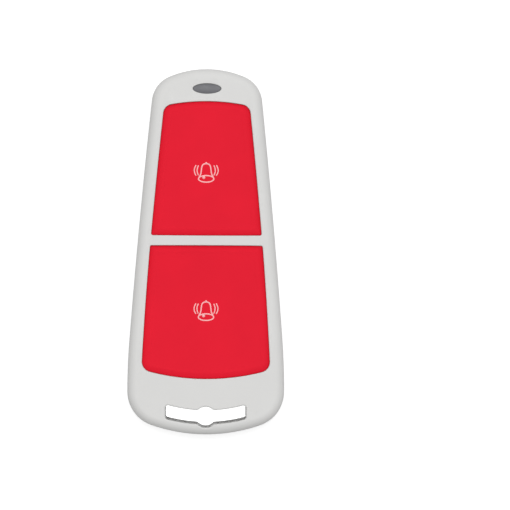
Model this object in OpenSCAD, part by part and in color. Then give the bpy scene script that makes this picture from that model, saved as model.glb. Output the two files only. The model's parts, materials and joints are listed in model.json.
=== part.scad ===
// Two-key wireless alert pendant, lying on its back.
// A flat case narrows to its crown. It holds two large push keys over sealed tactile switches,
// a lamp window at the crown, and a strap slot with a round cord hole at the foot.
// Millimetres. The origin is on the rest surface under the middle of the case.
// +Z comes out of the keys and +Y points at the crown.

/* [Case] */
// Length from the crown to the foot
case_length = 82; // [80:0.5:90]
// Width across the shoulders, beside the lamp
shoulder_width = 24.8; // [24.6:0.1:27]
// Width across the hips, beside the strap slot
hip_width = 35.2; // [35:0.1:38]
// Thickness of the closed case
case_thickness = 13; // [13:0.1:16]
// Radius of the crown
crown_radius = 21.5; // [20:0.5:26]
// Radius of the two shoulders
shoulder_radius = 6.5; // [5.5:0.1:7]
// Radius of the foot
foot_radius = 37; // [34:0.5:42]
// Radius of the two hips
hip_radius = 8; // [7:0.1:9]
// Radius of the long, almost straight sides
side_radius = 1800; // [1000:100:3000]
// Radius of the easing between a long side and its hip
ease_radius = 160; // [120:10:200]
// Radius of the edge round the front face and the rear face
case_edge = 2; // [1:0.1:2.2]
// Height of the joint between the two covers
parting_height = 5.6; // [5.3:0.1:6]
// Side wall beside the keys
side_wall = 1.9; // [1.6:0.1:2]
// Thicker side wall at the joint between the covers
rim_wall = 2.6; // [2.4:0.05:2.7]
// Front wall, round the keys
front_wall = 1.8; // [1.4:0.1:2]
// Rear wall
rear_wall = 1.4; // [1.2:0.1:1.6]

/* [Keys] */
// White border between a key opening and the side of the case
bezel_width = 2.86; // [2.8:0.02:3.6]
// White border beside the foot corners of the lower key opening
foot_bezel = 3.12; // [2.9:0.02:3.6]
// Radius of the sides of the lower key opening
opening_radius = 850; // [600:50:1500]
// White bar between the two key openings
bar_width = 2.2; // [2:0.1:3]
// Height of that bar above the middle of the case
bar_offset = 2.53; // [0:0.01:4]
// Border between the crown and the upper key opening
crown_margin = 7.28; // [7.1:0.02:8]
// Border between the foot and the lower key opening
foot_margin = 12.48; // [12.2:0.02:14]
// Radius of the upper key's crown edge
upper_arch = 45; // [40:1:60]
// Radius of the lower key's foot edge
lower_arch = 51; // [45:1:60]
// Radius of the upper key's crown corners
upper_corner = 2.2; // [1.5:0.1:3]
// Radius of the lower key's foot corners
lower_corner = 2.4; // [1.5:0.1:3.5]
// Radius of the corners beside the bar
bar_corner = 0.4; // [0.3:0.1:1]
// How far a key's face lies below the front face
key_recess = 0.35; // [0:0.05:0.6]
// Wall under a key's face
key_wall = 1.5; // [1.2:0.1:1.6]
// Radius of the edge round a key's face
key_edge = 0.4; // [0.2:0.1:0.6]
// How far a key's flange stands out under the border
flange_reach = 0.9; // [0.6:0.05:1]
// Thickness of that flange
flange_thickness = 0.95; // [0.8:0.05:1.1]
// How far a key travels when it is pressed
key_travel = 0.5; // [0.4:0.05:0.6]
// Distance from the bar's upper edge to the upper switch
upper_press = 14.1; // [11:0.1:16]
// Distance from the bar's lower edge to the lower switch
lower_press = 14.8; // [11:0.1:16]

/* [Lamp] */
// Width of the lamp window
lamp_width = 6.4; // [5:0.1:7]
// Height of the lamp window
lamp_height = 2.3; // [2:0.05:2.4]
// Distance from the crown to the middle of the lamp window
lamp_setback = 4.45; // [4.3:0.05:4.7]
// How far the lamp window lies below the front face
lamp_recess = 0.1; // [0:0.05:0.3]

/* [Strap slot] */
// Length of the strap slot
slot_length = 18.1; // [15:0.1:19]
// Width of the strap slot
slot_width = 3.1; // [2.6:0.1:3.3]
// Distance from the foot to the middle line of the slot
slot_setback = 3.9; // [3.7:0.05:4.1]
// Radius of the slot's corners
slot_corner = 0.6; // [0.4:0.1:1.2]
// Diameter of the cord hole in the middle of the slot
cord_hole = 4.7; // [4.2:0.1:4.9]
// Radius where the cord hole runs into the slot
slot_blend = 0.8; // [0.3:0.1:1]
// Wall between the slot and the sealed chamber
slot_collar = 2.2; // [2:0.05:2.4]

/* [Board] */
// Thickness of the circuit board
board_thickness = 1; // [0.8:0.1:1.2]
// Distance from the outside of the case to the board's edge
board_inset = 3.5; // [3.5:0.05:3.9]
// Height of a tactile switch without its plunger
switch_height = 1.8; // [1.6:0.1:2]
// Width of a tactile switch
switch_width = 6; // [5.6:0.1:6.2]
// How far a switch plunger stands out of its switch
plunger_rise = 0.9; // [0.8:0.05:1]
// How far a switch plunger travels
plunger_travel = 0.28; // [0.15:0.01:0.3]
// Thickness of a silicone boot over its plunger
boot_crown = 0.95; // [0.8:0.05:1.1]

/* [Battery] */
// Diameter of the coin cell
cell_diameter = 20; // [16:0.5:20.5]
// Thickness of the coin cell
cell_height = 3.2; // [2.5:0.1:3.3]

/* [Fasteners] */
// Diameter of the two case screws
case_screw = 1.8; // [1.6:0.1:2]
// Length of the case screws under the head
case_screw_length = 8; // [6:0.5:8.5]
// Diameter of the case screw heads
case_screw_head = 3.3; // [3:0.1:3.4]
// Diameter of the board screws
board_screw = 1.5; // [1.2:0.1:1.6]
// Length of the board screws under the head
board_screw_length = 3.2; // [2.8:0.1:3.3]
// Diameter of the board screw heads
board_screw_head = 3; // [2.6:0.1:3.2]

/* [Hidden] */

$fn = 64;
// Largest turn and least number of steps in each arc of an outline
arc_step = 6;
least_steps = 4;
// Steps in a rounded edge
edge_steps = 5;
// How far a cut runs past the face that it opens
overrun = 0.5;

// Clearances
key_gap = 0.14;
flange_gap = 0.05;
touch_gap = 0.05;
ledge_gap = 0.3;
lens_gap = 0.04;
seal_gap = 0.05;
screw_gap = 0.03;
pass_gap = 0.2;
cell_gap = 0.25;
clip_gap = 0.1;

// Heights from the rest surface up
clip_thickness = 0.3;
contact_height = 0.3;
cell_bottom = rear_wall + clip_gap + clip_thickness;
cell_top = cell_bottom + cell_height;
board_bottom = cell_top + contact_height;
board_top = board_bottom + board_thickness;
switch_top = board_top + switch_height;
plunger_top = switch_top + plunger_rise;
boot_top = plunger_top + touch_gap + boot_crown;
plate_under = case_thickness - front_wall;
flange_top = plate_under - flange_gap;
flange_bottom = flange_top - flange_thickness;
key_top = case_thickness - key_recess;
key_under = key_top - key_wall;
ledge_top = flange_bottom - key_travel - ledge_gap;

// Arcs of the case outline
crown_centre = [0, case_length / 2 - crown_radius];
foot_centre = [0, foot_radius - case_length / 2];
shoulder_x = shoulder_width / 2 - shoulder_radius;
shoulder_y = crown_centre.y + sqrt((crown_radius - shoulder_radius) ^ 2 - shoulder_x ^ 2);
hip_x = hip_width / 2 - hip_radius;
hip_y = foot_centre.y - sqrt((foot_radius - hip_radius) ^ 2 - hip_x ^ 2);
ease_centre = [hip_width / 2 - ease_radius, hip_y];
side_centre = crossing(
    [shoulder_x, shoulder_y], side_radius - shoulder_radius,
    ease_centre, side_radius - ease_radius
);

// Strap slot and the wall between it and the chamber
slot_radius = foot_radius - slot_setback;
slot_inner = slot_radius - slot_width / 2;
slot_outer = slot_radius + slot_width / 2;
cord_centre = [0, foot_centre.y - slot_radius];
bulkhead_face = slot_inner - slot_collar + side_wall;
chamber_corner = 4;

// Key openings
least_corner = 0.15;
bar_edge = 2000;
bar_top = bar_offset + bar_width / 2;
bar_bottom = bar_offset - bar_width / 2;
upper_end = case_length / 2 - crown_margin;
lower_end = foot_margin - case_length / 2;
upper_place = [0, bar_top + upper_press];
lower_place = [0, bar_bottom - lower_press];
opening_centre = crossing(
    side_place(bar_bottom, bezel_width), opening_radius,
    side_place(lower_end + 2 * lower_corner, foot_bezel), opening_radius
);

// Outlines: each row is an arc's centre, its radius and the corner before the next arc, if any
case_shape = [
    [crown_centre, crown_radius, shoulder_radius],
    [side_centre, side_radius, 0],
    [ease_centre, ease_radius, hip_radius],
    [foot_centre, foot_radius, 0]
];
chamber_shape = [
    [crown_centre, crown_radius, shoulder_radius],
    [side_centre, side_radius, 0],
    [ease_centre, ease_radius, chamber_corner],
    [foot_centre, bulkhead_face, 0]
];
upper_shape = [
    [[0, upper_end - upper_arch], upper_arch, upper_corner],
    [side_centre, side_radius - bezel_width, bar_corner],
    [[0, bar_top + bar_edge], bar_edge, 0]
];
lower_shape = [
    [[0, bar_bottom - bar_edge], bar_edge, bar_corner],
    [opening_centre, opening_radius, lower_corner],
    [[0, lower_end + lower_arch], lower_arch, 0]
];

// Shadow line between the covers
seam_depth = 0.3;
seam_height = 0.25;

// Thicker wall of the front cover above the joint
rim_height = 2.6;
rim_top = parting_height + rim_height;

// Seal in the rear cover's rim
seal_inset = 0.9;
seal_width = 1;
seal_height = 0.8;

// Keys
skirt_wall = 1.2;
key_rib = 0.8;
nub_diameter = 4;

// Ledges of the front cover that carry the board, and the screws that hold it
ledge_diameter = 3.8;
ledge_web = 2.4;
ledge_inset = board_inset + board_screw_head / 2 + pass_gap;
crown_ledge_angle = 24;
foot_ledge_angle = 22;
board_head_height = 1;
board_bore_floor = 0.2;
ledges = [
    for (side = [-1, 1]) [crown_centre, crown_radius - ledge_inset, 90 + side * crown_ledge_angle],
    for (side = [-1, 1]) [foot_centre, bulkhead_face - ledge_inset, side * foot_ledge_angle - 90]
];

// Tongues of the rear cover that catch on the front cover's thicker wall
tongue_gap = 0.05;
tongue_thickness = 0.7;
tongue_length = 6;
tongue_root = 2;
catch_gap = 0.1;
catch_reach = 0.3;
catch_height = 0.4;
upper_tongue_y = upper_place.y + switch_width / 2;
lower_tongue_y = lower_place.y;

// Case screws in the hips, midway between the slot and the edge of the case, outside the seal
hip_screw_drop = 2.8;
hip_screw_x = (slot_length / 2 + hip_width / 2 - case_edge) / 2;
case_screw_seat = 2.4;
case_head_height = 1.2;
case_bore_floor = 0.4;
head_gap = 0.15;
case_screw_places = [for (side = [-1, 1]) [side * hip_screw_x, hip_y - hip_screw_drop]];

// Cross recess of every screw
recess_share = 0.6;
recess_width_share = 0.16;
recess_depth_share = 0.6;

// Label field
label_width = 17;
label_length = 26;
label_corner = 1.5;
label_depth = 0.3;
label_thickness = 0.2;
label_gap = 0.1;
label_y = 3;

// Lamp lens and its light
lens_flange = 0.7;
lens_flange_height = 0.8;
lens_tail_width = 3;
lens_tail_height = 1.6;
lens_tail_gap = 0.3;
lamp_y = case_length / 2 - lamp_setback;
led_width = 2;
led_depth = 1.2;
led_base = 0.4;
led_dome_width = 1.3;
led_dome = 0.4;

// Tactile switches
switch_base = 0.4;
switch_plate = 0.2;
switch_well = 4.8;
plunger_diameter = 3.4;
plunger_flange = 4.4;
plunger_flange_height = 0.6;
plate_gap = 0.1;
plate_low = switch_top - switch_plate;
dome_diameter = 4.4;
dome_rise = 0.4;
dome_thickness = 0.06;
terminal_reach = 0.9;
terminal_width = 0.7;
terminal_thickness = 0.15;
terminal_height = 0.8;
terminal_spacing = 4.5;

// Silicone boots
boot_foot = 6.4;
boot_foot_height = 0.6;
boot_flank = 5.6;
boot_wall = 0.6;
boot_nose = 2.2;
boot_nose_height = 0.4;
boot_shoulder = switch_top + 0.7;

// Coin cell and its contacts
cell_place = lower_place;
cell_cap = 2.6;
cell_cap_height = 0.4;
holder_wall = 1;
holder_radius = cell_diameter / 2 + cell_gap + holder_wall;
holder_notch = 7;
clip_width = 5;
contact_disc = 7;
contact_arm_width = 1.6;

// Antenna, radio and processor on the board's underside, each placed from the one above it
antenna_width = 8.4;
antenna_length = 6.4;
antenna_bar = 0.6;
antenna_drop = 1.6;
antenna_setback = 9.4;
antenna_place = [0, case_length / 2 - antenna_setback];
can_width = 12;
can_length = 8.4;
can_height = 1.9;
can_wall = 0.2;
can_spacing = 1.6;
can_place = [0, antenna_place.y - (antenna_length + can_length) / 2 - can_spacing];
radio_size = 4;
radio_height = 0.9;
chip_pitch = 0.95;
chip_pins = 5;
chip_size = 5;
chip_height = 1;
chip_gap = 0.02;
pin_reach = 0.7;
pin_width = 0.4;
pin_height = 0.25;
chip_spacing = 3.5;
chip_x = -3.2;
chip_place = [chip_x, can_place.y - (can_length + chip_size) / 2 - chip_spacing];
crystal_width = 3.2;
crystal_length = 2.5;
crystal_height = 0.8;
crystal_x = 5.4;
crystal_place = [crystal_x, chip_place.y];
chip_part_length = 1;
chip_part_width = 0.6;
chip_part_height = 0.5;
chip_part_pitch = 2;
chip_parts = 6;
capacitor_shifts = [4.8, -7];
resistor_shift = -4.4;

// Nearer crossing of two circles on the clockwise side of an outline
function crossing(a, a_radius, b, b_radius) =
    let (
        apart = norm(b - a),
        along = (b - a) / apart,
        foot = (apart ^ 2 + a_radius ^ 2 - b_radius ^ 2) / (2 * apart),
        height = sqrt(a_radius ^ 2 - foot ^ 2)
    )
    a + foot * along + height * [along.y, -along.x];

// Point at a height that leaves a border to the side of the case
function side_place(y, border) =
    let (
        turn = (ease_centre - side_centre) / norm(ease_centre - side_centre),
        straight = y > side_centre.y + side_radius * turn.y,
        centre = straight ? side_centre : ease_centre,
        radius = straight ? side_radius : ease_radius
    )
    [centre.x + sqrt(radius ^ 2 - (y - centre.y) ^ 2) - border, y];

// Direction from one point to another
function toward(a, b) = atan2(b.y - a.y, b.x - a.x);

// Points of an arc
function arc(centre, radius, from, to) =
    let (steps = max(least_steps, ceil(abs(to - from) / arc_step)))
    [for (i = [0:steps]) let (a = from + (to - from) * i / steps) centre + radius * [cos(a), sin(a)]];

// Half of an outline, mirrored to the whole
function mirrored(half) = concat(half, [for (i = [len(half) - 2:-1:1]) [-half[i].x, half[i].y]]);

// Corner between two arcs of an outline drawn in by an inset: its centre and its radius
function corner(a, b, inset) =
    let (r = max(a[2] - inset, least_corner))
    [crossing(a[0], a[1] - inset - r, b[0], b[1] - inset - r), r];

// Whether a corner starts before the arc that it belongs to, so that it touches the arc before
function starts_early(shape, i, inset) =
    i > 0 && i < len(shape) - 1 && shape[i][2] > 0 && shape[i - 1][2] == 0
    && toward(shape[i - 1][0], shape[i][0]) < toward(shape[i][0], corner(shape[i], shape[i + 1], inset)[0]);

// Arcs that an outline really has at an inset, each with the corner that it runs into
function met_arcs(shape, inset) = [
    for (i = [0:len(shape) - 1])
    if (!starts_early(shape, i, inset))
        [shape[i][0], shape[i][1], starts_early(shape, i + 1, inset) ? shape[i + 1][2] : shape[i][2]]
];

// Arcs of an outline with its corners, drawn in by an inset
function with_corners(shape, inset) =
    let (arcs = met_arcs(shape, inset))
    [
        for (i = [0:len(arcs) - 1])
        let (a = arcs[i])
        each a[2] == 0
            ? [[a[0], a[1] - inset]]
            : [[a[0], a[1] - inset], corner(a, arcs[i + 1], inset)]
    ];

// Direction in which two arcs of an outline touch
function touching(a, b) = a[1] > b[1] ? toward(a[0], b[0]) : toward(b[0], a[0]);

// Right-hand half of an outline, from the crown to the foot
function half_outline(arcs) = [
    for (i = [0:len(arcs) - 1])
    let (
        from = i == 0 ? 90 : touching(arcs[i - 1], arcs[i]),
        to = i == len(arcs) - 1 ? -90 : touching(arcs[i], arcs[i + 1]),
        points = arc(arcs[i][0], arcs[i][1], from, to)
    )
    for (j = [(i == 0 ? 0 : 1):len(points) - 1]) points[j]
];

function outline(shape, inset) = mirrored(half_outline(with_corners(shape, inset)));

// Points of an oval, and of a rectangle with round corners
function oval(width, height) = [for (a = [0:arc_step:359]) [width / 2 * cos(a), height / 2 * sin(a)]];
function rounded_box(width, length, r) = [
    for (i = [0:3])
    let (x = width / 2 - r, y = length / 2 - r)
    each arc([[x, y], [-x, y], [-x, -y], [x, -y]][i], r, 90 * i, 90 * i + 90)
];

// Right-hand half of the strap slot, from the top of the cord hole to its foot
function slot_half() =
    let (
        hole = cord_hole / 2,
        x = slot_length / 2 - slot_corner,
        blend_high = crossing(foot_centre, slot_inner - slot_blend, cord_centre, hole + slot_blend),
        blend_low = crossing(foot_centre, slot_outer + slot_blend, cord_centre, hole + slot_blend),
        high = [abs(blend_high.x), blend_high.y],
        low = [abs(blend_low.x), blend_low.y],
        end_high = [x, foot_centre.y - sqrt((slot_inner + slot_corner) ^ 2 - x ^ 2)],
        end_low = [x, foot_centre.y - sqrt((slot_outer - slot_corner) ^ 2 - x ^ 2)]
    )
    concat(
        arc(cord_centre, hole, 90, toward(cord_centre, high)),
        arc(high, slot_blend, toward(high, cord_centre), toward(foot_centre, high)),
        arc(foot_centre, slot_inner, toward(foot_centre, high), toward(foot_centre, end_high)),
        arc(end_high, slot_corner, toward(end_high, foot_centre), 0),
        arc(end_low, slot_corner, 0, toward(foot_centre, end_low)),
        arc(foot_centre, slot_outer, toward(foot_centre, end_low), toward(foot_centre, low)),
        arc(low, slot_blend, toward(low, foot_centre), toward(low, cord_centre)),
        arc(cord_centre, hole, toward(cord_centre, low), -90)
    );

module between(low, high) {
    translate([0, 0, low])
        linear_extrude(height = high - low)
            children();
}

module at(place) {
    translate([place.x, place.y, 0])
        children();
}

module block(place, size, low, high) {
    at(place)
        between(low, high)
            square(size, center = true);
}

// Nested prisms under one hull give a quarter-round edge above, below or both
module rounded(shape, inset, low, high, low_edge, high_edge) {
    hull() {
        for (i = [0:edge_steps])
            let (a = 90 * i / edge_steps, drawn_in = max(low_edge, high_edge) * (1 - cos(a)))
                between(low + low_edge * (1 - sin(a)), high - high_edge * (1 - sin(a)))
                    polygon(outline(shape, inset + drawn_in));
    }
}

// Band that follows an outline from one inset to another
module band(shape, outer, inner) {
    difference() {
        polygon(outline(shape, outer));
        polygon(outline(shape, inner));
    }
}

module strap_slot() {
    between(-overrun, case_thickness + overrun)
        polygon(mirrored(slot_half()));
}

// Screw that stands on its head, with a cross recess below
module screw(place, seat, length, diameter, head, head_height) {
    recess = [head * recess_share, head * recess_width_share];
    low = seat - head_height;
    at(place)
        difference() {
            union() {
                between(seat - head_height, seat)
                    circle(d = head);
                between(seat, seat + length)
                    circle(d = diameter);
            }
            for (turn = [0, 90])
                rotate(turn)
                    block([0, 0], recess, low - overrun, low + head_height * recess_depth_share);
        }
}

// Ledge on the wall of the front cover
module ledge(centre, radius, angle) {
    at(centre)
        rotate(angle)
            translate([radius, 0, 0])
                between(board_top, ledge_top) {
                    circle(d = ledge_diameter);
                    translate([0, -ledge_web / 2])
                        square([ledge_inset - seal_inset, ledge_web]);
                }
}

function ledge_place(l) = l[0] + l[1] * [cos(l[2]), sin(l[2])];

module front_cover() {
    color("gainsboro")
    difference() {
        union() {
            difference() {
                union() {
                    rounded(case_shape, 0, parting_height + seam_height, case_thickness, 0, case_edge);
                    between(parting_height, case_thickness - case_edge)
                        polygon(outline(case_shape, seam_depth));
                }
                between(parting_height - overrun, plate_under)
                    polygon(outline(chamber_shape, rim_wall));
                between(rim_top, plate_under)
                    polygon(outline(chamber_shape, side_wall));
            }
            for (l = ledges)
                ledge(l[0], l[1], l[2]);
        }
        between(plate_under - overrun, case_thickness + overrun) {
            polygon(outline(upper_shape, 0));
            polygon(outline(lower_shape, 0));
            at([0, lamp_y])
                polygon(oval(lamp_width, lamp_height));
        }
        strap_slot();
        for (p = case_screw_places)
            at(p)
                between(parting_height - overrun, case_screw_seat + case_screw_length + case_bore_floor)
                    circle(d = case_screw + 2 * screw_gap);
        for (l = ledges)
            at(ledge_place(l))
                between(board_top - overrun, board_bottom + board_screw_length + board_bore_floor)
                    circle(d = board_screw + 2 * screw_gap);
    }
}

// Tongues that stand on the rear wall just inside the rim
module tongues() {
    outer = rim_wall + tongue_gap;
    catch_low = rim_top + catch_gap;
    intersection() {
        union() {
            between(rear_wall - overrun, rear_wall + tongue_root)
                band(chamber_shape, rim_wall - overrun, outer + tongue_thickness);
            between(rear_wall, catch_low + catch_height)
                band(chamber_shape, outer, outer + tongue_thickness);
            between(catch_low, catch_low + catch_height)
                band(chamber_shape, outer - catch_reach, outer + tongue_thickness);
        }
        for (y = [upper_tongue_y, lower_tongue_y])
            block([0, y], [hip_width, tongue_length], 0, case_thickness);
    }
}

module rear_cover() {
    color("gainsboro")
    difference() {
        union() {
            difference() {
                union() {
                    rounded(case_shape, 0, 0, parting_height - seam_height, case_edge, 0);
                    between(case_edge, parting_height)
                        polygon(outline(case_shape, seam_depth));
                }
                between(rear_wall, parting_height + overrun)
                    polygon(outline(chamber_shape, rim_wall));
                between(parting_height - seal_height, parting_height + overrun)
                    band(chamber_shape, seal_inset, seal_inset + seal_width);
            }
            tongues();
        }
        strap_slot();
        for (p = case_screw_places)
            at(p) {
                between(-overrun, case_screw_seat)
                    circle(d = case_screw_head + 2 * head_gap);
                between(case_screw_seat - overrun, parting_height + overrun)
                    circle(d = case_screw + 2 * pass_gap);
            }
        at([0, label_y])
            between(-overrun, label_depth)
                polygon(rounded_box(label_width, label_length, label_corner));
    }
}

module case_seal() {
    color("black")
    between(parting_height - seal_height, parting_height)
        band(chamber_shape, seal_inset + seal_gap, seal_inset + seal_width - seal_gap);
}

module case_screws() {
    color("silver")
    for (p = case_screw_places)
        screw(p, case_screw_seat, case_screw_length, case_screw, case_screw_head, case_head_height);
}

module rear_label() {
    width = label_width - 2 * label_gap;
    length = label_length - 2 * label_gap;
    color("whitesmoke")
    at([0, label_y])
        between(label_depth - label_thickness, label_depth)
            polygon(rounded_box(width, length, label_corner - label_gap));
}

// Key plate in its opening, with a flange, ribs and a nub that meets the boot
module key(shape, place) {
    color("#e12b39")
    union() {
        difference() {
            union() {
                rounded(shape, key_gap, key_under, key_top, 0, key_edge);
                between(flange_bottom, flange_top)
                    polygon(outline(shape, key_gap - flange_reach));
            }
            between(flange_bottom - overrun, key_under)
                polygon(outline(shape, key_gap + skirt_wall));
        }
        intersection() {
            between(flange_bottom, key_under)
                polygon(outline(shape, key_gap + skirt_wall / 2));
            union() {
                block(place, [key_rib, case_length], flange_bottom, key_under);
                block(place, [hip_width, key_rib], flange_bottom, key_under);
            }
        }
        at(place)
            between(boot_top + touch_gap, key_under)
                circle(d = nub_diameter);
    }
}

module upper_key() {
    key(upper_shape, upper_place);
}

module lower_key() {
    key(lower_shape, lower_place);
}

module lamp_lens() {
    color("dimgray")
    at([0, lamp_y]) {
        between(plate_under, case_thickness - lamp_recess)
            polygon(oval(lamp_width - 2 * lens_gap, lamp_height - 2 * lens_gap));
        between(plate_under - lens_flange_height, plate_under)
            polygon(oval(lamp_width + 2 * lens_flange, lamp_height + 2 * lens_flange));
        between(board_top + led_base + led_dome + lens_tail_gap, plate_under)
            polygon(oval(lens_tail_width, lens_tail_height));
    }
}

module circuit_board() {
    color("darkgreen")
    difference() {
        between(board_bottom, board_top)
            polygon(outline(chamber_shape, board_inset));
        for (l = ledges)
            at(ledge_place(l))
                between(board_bottom - overrun, board_top + overrun)
                    circle(d = board_screw + 2 * pass_gap);
    }
}

module board_screws() {
    color("silver")
    for (l = ledges)
        screw(
            ledge_place(l), board_bottom, board_screw_length,
            board_screw, board_screw_head, board_head_height
        );
}

module status_led() {
    base_top = board_top + led_base;
    color("white") {
        block([0, lamp_y], [led_width, led_depth], board_top, base_top);
        block([0, lamp_y], [led_dome_width, led_depth], base_top, base_top + led_dome);
    }
}

module switch_housing(place) {
    color("dimgray")
    difference() {
        block(place, [switch_width, switch_width], board_top, plate_low);
        at(place)
            between(board_top + switch_base, plate_low + overrun)
                circle(d = switch_well);
    }
}

module switch_cover_plate(place) {
    color("silver")
    difference() {
        block(place, [switch_width, switch_width], plate_low, switch_top);
        at(place)
            between(plate_low - overrun, switch_top + overrun)
                circle(d = plunger_diameter + 2 * plate_gap);
    }
}

module switch_plunger(place) {
    color("black")
    at(place) {
        between(plate_low - touch_gap - plunger_flange_height, plate_low - touch_gap)
            circle(d = plunger_flange);
        between(plate_low - touch_gap - plunger_flange_height, plunger_top)
            circle(d = plunger_diameter);
    }
}

// Thin snap dome on the floor of its switch
module switch_dome(place) {
    radius = (dome_diameter ^ 2 / 4 + dome_rise ^ 2) / (2 * dome_rise);
    floor_height = board_top + switch_base;
    color("silver")
    at(place)
        difference() {
            translate([0, 0, floor_height + dome_rise - radius])
                difference() {
                    sphere(r = radius);
                    sphere(r = radius - dome_thickness);
                }
            between(floor_height - 2 * radius, floor_height)
                square(3 * radius, center = true);
        }
}

module switch_terminals(place) {
    color("silver")
    for (x = [-1, 1], y = [-1, 1])
        at(place + [x * (switch_width / 2 + touch_gap), y * terminal_spacing / 2])
            mirror([x > 0 ? 0 : 1, 0, 0]) {
                translate([0, -terminal_width / 2, board_top])
                    cube([terminal_reach, terminal_width, terminal_thickness]);
                translate([0, -terminal_width / 2, board_top])
                    cube([terminal_thickness, terminal_width, terminal_height]);
            }
}

// Silicone cap that seals a switch and springs its key back
module key_boot(place) {
    color("lightslategray")
    at(place)
        rotate_extrude()
            polygon([
                [boot_flank - boot_wall, board_top],
                [boot_foot, board_top],
                [boot_foot, board_top + boot_foot_height],
                [boot_flank, board_top + boot_foot_height],
                [boot_flank, boot_shoulder],
                [boot_nose, boot_top - boot_nose_height],
                [boot_nose, boot_top],
                [0, boot_top],
                [0, plunger_top + touch_gap],
                [boot_nose, plunger_top + touch_gap],
                [boot_flank - boot_wall, boot_shoulder - boot_wall]
            ]);
}

module coin_cell() {
    color("lightgray")
    at(cell_place) {
        between(cell_bottom, cell_top - cell_cap_height)
            circle(d = cell_diameter);
        between(cell_top - cell_cap_height, cell_top)
            circle(d = cell_diameter - cell_cap);
    }
}

module battery_holder() {
    color("ivory")
    at(cell_place)
        difference() {
            between(cell_bottom, board_bottom)
                circle(r = holder_radius);
            between(cell_bottom - overrun, board_bottom + overrun)
                circle(d = cell_diameter + 2 * cell_gap);
            block(
                [0, -holder_radius], [holder_notch, holder_radius],
                cell_bottom - overrun, board_bottom + overrun
            );
        }
}

// Strap under the cell with an upright on each side of the holder
module battery_clip() {
    reach = holder_radius + clip_gap;
    low = cell_bottom - clip_thickness;
    color("silver")
    at(cell_place) {
        block([0, 0], [2 * (reach + clip_thickness), clip_width], low, cell_bottom);
        for (x = [-1, 1])
            block(
                [x * (reach + clip_thickness / 2), 0], [clip_thickness, clip_width],
                low, board_bottom
            );
    }
}

module battery_contact() {
    color("silver")
    at(cell_place)
        between(cell_top, board_bottom) {
            circle(d = contact_disc);
            square([cell_diameter - 2 * cell_cap, contact_arm_width], center = true);
        }
}

module microcontroller() {
    color("#202020")
    block(chip_place, [chip_size, chip_size], board_bottom - chip_height, board_bottom);
}

module microcontroller_pins() {
    out = (chip_size + pin_reach) / 2 + chip_gap;
    color("silver")
    for (x = [-out, out], i = [0:chip_pins - 1])
        block(
            chip_place + [x, (i - (chip_pins - 1) / 2) * chip_pitch],
            [pin_reach, pin_width], board_bottom - pin_height, board_bottom
        );
}

module shield_can() {
    color("silver")
    difference() {
        block(can_place, [can_width, can_length], board_bottom - can_height, board_bottom);
        block(
            can_place, [can_width - 2 * can_wall, can_length - 2 * can_wall],
            board_bottom - can_height + can_wall, board_bottom + overrun
        );
    }
}

module radio_chip() {
    color("#202020")
    block(can_place, [radio_size, radio_size], board_bottom - radio_height, board_bottom);
}

module crystal() {
    color("silver")
    block(crystal_place, [crystal_width, crystal_length], board_bottom - crystal_height, board_bottom);
}

// Stamped loop with two legs on the board
module antenna_loop() {
    low = board_bottom - antenna_drop;
    color("goldenrod")
    at(antenna_place) {
        between(low, low + antenna_bar)
            difference() {
                square([antenna_width, antenna_length], center = true);
                square([antenna_width - 2 * antenna_bar, antenna_length - 2 * antenna_bar], center = true);
            }
        for (x = [-1, 1])
            block(
                [x * (antenna_width - antenna_bar) / 2, (antenna_bar - antenna_length) / 2],
                [antenna_bar, antenna_bar], low, board_bottom
            );
    }
}

module chip_part_row(y) {
    for (i = [0:chip_parts - 1])
        block(
            [(i - (chip_parts - 1) / 2) * chip_part_pitch, y], [chip_part_width, chip_part_length],
            board_bottom - chip_part_height, board_bottom
        );
}

module capacitors() {
    color("peru")
    for (shift = capacitor_shifts)
        chip_part_row(chip_place.y + shift);
}

module resistors() {
    color("#303030")
    chip_part_row(chip_place.y + resistor_shift);
}

front_cover();
rear_cover();
case_seal();
case_screws();
rear_label();
upper_key();
lower_key();
lamp_lens();
circuit_board();
board_screws();
status_led();
switch_housing(upper_place);  // upper_switch_housing
switch_cover_plate(upper_place);  // upper_switch_plate
switch_plunger(upper_place);  // upper_switch_plunger
switch_dome(upper_place);  // upper_switch_dome
switch_terminals(upper_place);  // upper_switch_terminals
key_boot(upper_place);  // upper_key_boot
switch_housing(lower_place);  // lower_switch_housing
switch_cover_plate(lower_place);  // lower_switch_plate
switch_plunger(lower_place);  // lower_switch_plunger
switch_dome(lower_place);  // lower_switch_dome
switch_terminals(lower_place);  // lower_switch_terminals
key_boot(lower_place);  // lower_key_boot
coin_cell();
battery_holder();
battery_clip();
battery_contact();
microcontroller();
microcontroller_pins();
shield_can();
radio_chip();
crystal();
antenna_loop();
capacitors();
resistors();
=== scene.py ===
"""Looks of a two-key alert pendant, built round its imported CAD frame.

The covers, keys, lamp lens, boots and snap domes are rebuilt with fine edges, the bells are
printed on the keys, and the rest keeps its CAD shape under procedural materials.
Sizes are in millimetres and turn into metres where a mesh is made.
"""

import json
import math

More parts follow.
